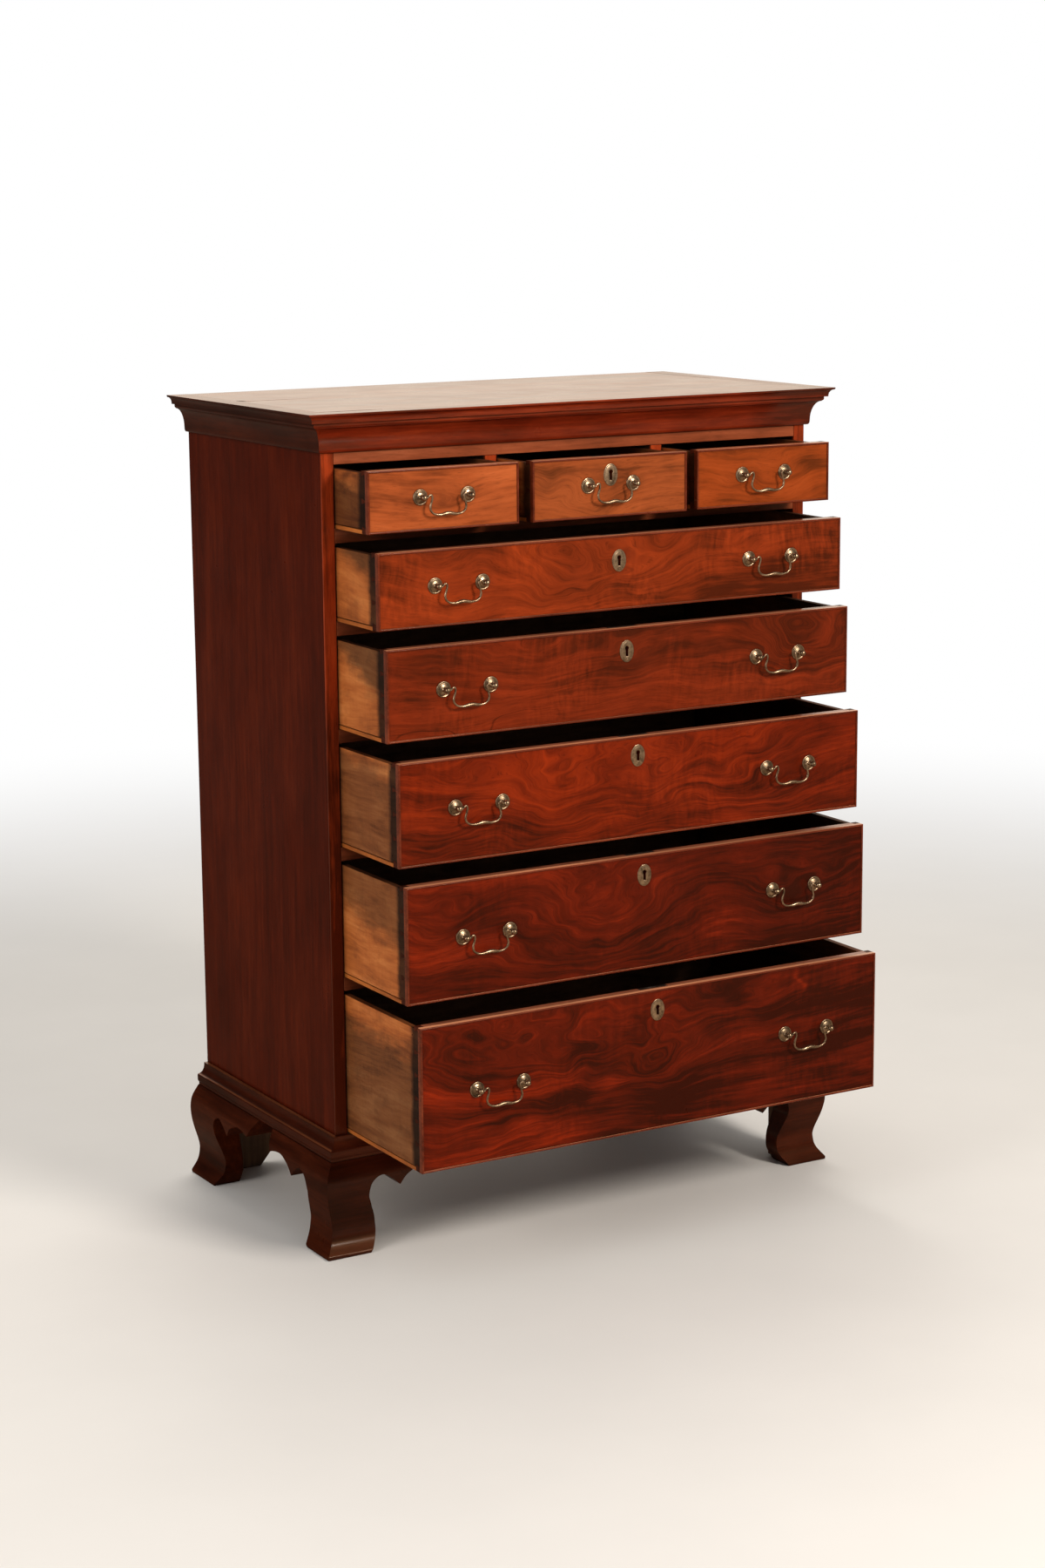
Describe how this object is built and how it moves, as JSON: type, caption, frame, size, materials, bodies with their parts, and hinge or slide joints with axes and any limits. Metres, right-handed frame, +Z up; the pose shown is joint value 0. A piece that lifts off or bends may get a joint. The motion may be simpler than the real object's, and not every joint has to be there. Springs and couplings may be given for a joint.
{
  "type": "tall chest of drawers",
  "caption": "Tall mahogany chest with small drawers over graduated long ones, cornice, cockbeaded fronts, bail handles and ogee bracket feet; drawers stand open.",
  "frame": {"origin": "middle of the footprint of the whole chest with its open drawers, at floor level", "axes": "+Z up, -Y towards the front, +X to the right of someone facing it"},
  "size_m": [1.0446, 0.8052, 1.4355],
  "materials": {
    "case_wood": "polished old mahogany, dark red brown",
    "front_wood": "polished figured mahogany, orange red brown",
    "drawer_wood": "bare aged poplar, golden brown",
    "aged_brass": "aged, olive gold",
    "lock_iron": "dull, darkened"
  },
  "bodies": {
    "case": {"side_left": "case_wood", "side_right": "case_wood", "top_board": "case_wood", "back_board": "drawer_wood", "bottom_board": "drawer_wood", "dust_board_1": "case_wood", "dust_board_2": "case_wood", "dust_board_3": "case_wood", "dust_board_4": "case_wood", "dust_board_5": "case_wood", "top_rail": "case_wood", "divider_left": "case_wood", "divider_right": "case_wood", "cornice": "case_wood", "base_moulding": "case_wood", "foot_front_left": "case_wood", "foot_front_right": "case_wood", "foot_rear_left": "case_wood", "foot_rear_right": "case_wood"},
    "long_drawer_5": {"long_drawer_5_front": "front_wood", "long_drawer_5_box": "drawer_wood", "long_drawer_5_lock": "lock_iron"},
    "long_drawer_5_bail_left": {"long_drawer_5_bail_left": "aged_brass"},
    "long_drawer_5_bail_right": {"long_drawer_5_bail_right": "aged_brass"},
    "long_drawer_5_lock_bolt": {"long_drawer_5_lock_bolt": "lock_iron"},
    "long_drawer_4": {"long_drawer_4_front": "front_wood", "long_drawer_4_box": "drawer_wood", "long_drawer_4_lock": "lock_iron"},
    "long_drawer_4_bail_left": {"long_drawer_4_bail_left": "aged_brass"},
    "long_drawer_4_bail_right": {"long_drawer_4_bail_right": "aged_brass"},
    "long_drawer_4_lock_bolt": {"long_drawer_4_lock_bolt": "lock_iron"},
    "long_drawer_3": {"long_drawer_3_front": "front_wood", "long_drawer_3_box": "drawer_wood", "long_drawer_3_lock": "lock_iron"},
    "long_drawer_3_bail_left": {"long_drawer_3_bail_left": "aged_brass"},
    "long_drawer_3_bail_right": {"long_drawer_3_bail_right": "aged_brass"},
    "long_drawer_3_lock_bolt": {"long_drawer_3_lock_bolt": "lock_iron"},
    "long_drawer_2": {"long_drawer_2_front": "front_wood", "long_drawer_2_box": "drawer_wood", "long_drawer_2_lock": "lock_iron"},
    "long_drawer_2_bail_left": {"long_drawer_2_bail_left": "aged_brass"},
    "long_drawer_2_bail_right": {"long_drawer_2_bail_right": "aged_brass"},
    "long_drawer_2_lock_bolt": {"long_drawer_2_lock_bolt": "lock_iron"},
    "long_drawer_1": {"long_drawer_1_front": "front_wood", "long_drawer_1_box": "drawer_wood", "long_drawer_1_lock": "lock_iron"},
    "long_drawer_1_bail_left": {"long_drawer_1_bail_left": "aged_brass"},
    "long_drawer_1_bail_right": {"long_drawer_1_bail_right": "aged_brass"},
    "long_drawer_1_lock_bolt": {"long_drawer_1_lock_bolt": "lock_iron"},
    "small_drawer_left": {"small_drawer_left_front": "front_wood", "small_drawer_left_box": "drawer_wood"},
    "small_drawer_left_bail": {"small_drawer_left_bail": "aged_brass"},
    "small_drawer_middle": {"small_drawer_middle_front": "front_wood", "small_drawer_middle_box": "drawer_wood", "small_drawer_middle_lock": "lock_iron"},
    "small_drawer_middle_bail": {"small_drawer_middle_bail": "aged_brass"},
    "small_drawer_middle_lock_bolt": {"small_drawer_middle_lock_bolt": "lock_iron"},
    "small_drawer_right": {"small_drawer_right_front": "front_wood", "small_drawer_right_box": "drawer_wood"},
    "small_drawer_right_bail": {"small_drawer_right_bail": "aged_brass"}
  },
  "joints": [
    {"name": "long_drawer_5_slide", "type": "slide", "parent": "case", "child": "long_drawer_5", "axis": [0, -1, 0], "range_m": [-0.264, 0.096]},
    {"name": "long_drawer_5_bail_left_swing", "type": "hinge", "parent": "long_drawer_5", "child": "long_drawer_5_bail_left", "pos_m": [-0.309, -0.3974, 0.33725], "axis": [-1, 0, 0], "range_deg": [-20, 180]},
    {"name": "long_drawer_5_bail_right_swing", "type": "hinge", "parent": "long_drawer_5", "child": "long_drawer_5_bail_right", "pos_m": [0.309, -0.3974, 0.33725], "axis": [-1, 0, 0], "range_deg": [-20, 180]},
    {"name": "long_drawer_5_lock_bolt_throw", "type": "slide", "parent": "long_drawer_5", "child": "long_drawer_5_lock_bolt", "axis": [0, 0, 1], "range_m": [0, 0.008]},
    {"name": "long_drawer_4_slide", "type": "slide", "parent": "case", "child": "long_drawer_4", "axis": [0, -1, 0], "range_m": [-0.223, 0.137]},
    {"name": "long_drawer_4_bail_left_swing", "type": "hinge", "parent": "long_drawer_4", "child": "long_drawer_4_bail_left", "pos_m": [-0.309, -0.3564, 0.587], "axis": [-1, 0, 0], "range_deg": [-20, 180]},
    {"name": "long_drawer_4_bail_right_swing", "type": "hinge", "parent": "long_drawer_4", "child": "long_drawer_4_bail_right", "pos_m": [0.309, -0.3564, 0.587], "axis": [-1, 0, 0], "range_deg": [-20, 180]},
    {"name": "long_drawer_4_lock_bolt_throw", "type": "slide", "parent": "long_drawer_4", "child": "long_drawer_4_lock_bolt", "axis": [0, 0, 1], "range_m": [0, 0.008]},
    {"name": "long_drawer_3_slide", "type": "slide", "parent": "case", "child": "long_drawer_3", "axis": [0, -1, 0], "range_m": [-0.203, 0.157]},
    {"name": "long_drawer_3_bail_left_swing", "type": "hinge", "parent": "long_drawer_3", "child": "long_drawer_3_bail_left", "pos_m": [-0.309, -0.3364, 0.80025], "axis": [-1, 0, 0], "range_deg": [-20, 180]},
    {"name": "long_drawer_3_bail_right_swing", "type": "hinge", "parent": "long_drawer_3", "child": "long_drawer_3_bail_right", "pos_m": [0.309, -0.3364, 0.80025], "axis": [-1, 0, 0], "range_deg": [-20, 180]},
    {"name": "long_drawer_3_lock_bolt_throw", "type": "slide", "parent": "long_drawer_3", "child": "long_drawer_3_lock_bolt", "axis": [0, 0, 1], "range_m": [0, 0.008]},
    {"name": "long_drawer_2_slide", "type": "slide", "parent": "case", "child": "long_drawer_2", "axis": [0, -1, 0], "range_m": [-0.1685, 0.1915]},
    {"name": "long_drawer_2_bail_left_swing", "type": "hinge", "parent": "long_drawer_2", "child": "long_drawer_2_bail_left", "pos_m": [-0.309, -0.3019, 0.991], "axis": [-1, 0, 0], "range_deg": [-20, 180]},
    {"name": "long_drawer_2_bail_right_swing", "type": "hinge", "parent": "long_drawer_2", "child": "long_drawer_2_bail_right", "pos_m": [0.309, -0.3019, 0.991], "axis": [-1, 0, 0], "range_deg": [-20, 180]},
    {"name": "long_drawer_2_lock_bolt_throw", "type": "slide", "parent": "long_drawer_2", "child": "long_drawer_2_lock_bolt", "axis": [0, 0, 1], "range_m": [0, 0.008]},
    {"name": "long_drawer_1_slide", "type": "slide", "parent": "case", "child": "long_drawer_1", "axis": [0, -1, 0], "range_m": [-0.145, 0.215]},
    {"name": "long_drawer_1_bail_left_swing", "type": "hinge", "parent": "long_drawer_1", "child": "long_drawer_1_bail_left", "pos_m": [-0.309, -0.2784, 1.15825], "axis": [-1, 0, 0], "range_deg": [-20, 180]},
    {"name": "long_drawer_1_bail_right_swing", "type": "hinge", "parent": "long_drawer_1", "child": "long_drawer_1_bail_right", "pos_m": [0.309, -0.2784, 1.15825], "axis": [-1, 0, 0], "range_deg": [-20, 180]},
    {"name": "long_drawer_1_lock_bolt_throw", "type": "slide", "parent": "long_drawer_1", "child": "long_drawer_1_lock_bolt", "axis": [0, 0, 1], "range_m": [0, 0.008]},
    {"name": "small_drawer_left_slide", "type": "slide", "parent": "case", "child": "small_drawer_left", "axis": [0, -1, 0], "range_m": [-0.1145, 0.2455]},
    {"name": "small_drawer_left_bail_swing", "type": "hinge", "parent": "small_drawer_left", "child": "small_drawer_left_bail", "pos_m": [-0.3175, -0.2479, 1.3], "axis": [-1, 0, 0], "range_deg": [-20, 180]},
    {"name": "small_drawer_middle_slide", "type": "slide", "parent": "case", "child": "small_drawer_middle", "axis": [0, -1, 0], "range_m": [-0.1155, 0.2445]},
    {"name": "small_drawer_middle_bail_swing", "type": "hinge", "parent": "small_drawer_middle", "child": "small_drawer_middle_bail", "pos_m": [0.00225, -0.2489, 1.3], "axis": [-1, 0, 0], "range_deg": [-20, 180]},
    {"name": "small_drawer_middle_lock_bolt_throw", "type": "slide", "parent": "small_drawer_middle", "child": "small_drawer_middle_lock_bolt", "axis": [0, 0, 1], "range_m": [0, 0.008]},
    {"name": "small_drawer_right_slide", "type": "slide", "parent": "case", "child": "small_drawer_right", "axis": [0, -1, 0], "range_m": [-0.108, 0.252]},
    {"name": "small_drawer_right_bail_swing", "type": "hinge", "parent": "small_drawer_right", "child": "small_drawer_right_bail", "pos_m": [0.31975, -0.2414, 1.3], "axis": [-1, 0, 0], "range_deg": [-20, 180]}
  ]
}
